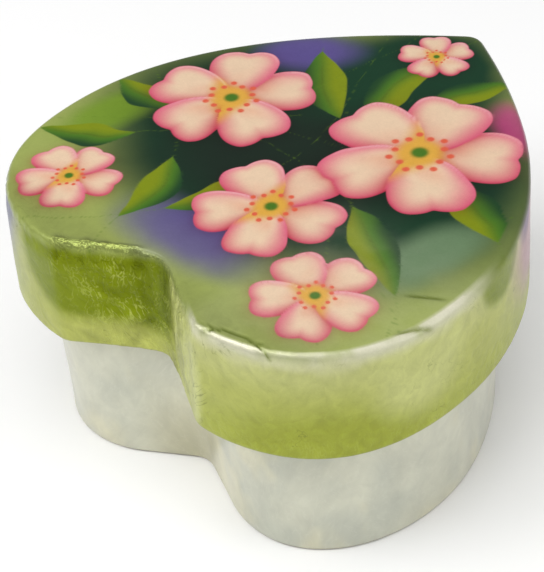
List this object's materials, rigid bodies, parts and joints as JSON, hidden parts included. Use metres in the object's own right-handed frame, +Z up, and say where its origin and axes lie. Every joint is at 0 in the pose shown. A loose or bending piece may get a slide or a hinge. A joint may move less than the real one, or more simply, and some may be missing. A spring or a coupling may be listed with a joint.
{
  "type": "heart-shaped shell trinket box",
  "caption": "Hollow heart-shaped shell box with a deep lift-off cap lid, pearly laminate walls and a painted rose on the flat lid.",
  "frame": {"origin": "centre of the flat underside of the base, at the middle of the whole box's outline", "axes": "+X across the heart, +Y towards the heart's tip, with the cleft at -Y, +Z up"},
  "size_m": [0.1318, 0.1365, 0.0715],
  "materials": {
    "pearl_shell": "pearly white shell laminate under clear lacquer, softly clouded, slightly uneven",
    "painted_shell": "pearly yellow-green shell laminate with a painted rose on top, under thick clear gloss lacquer, finely crinkled on the skirt"
  },
  "bodies": {
    "root": {"base": "pearl_shell", "lid": "painted_shell"}
  },
  "joints": []
}
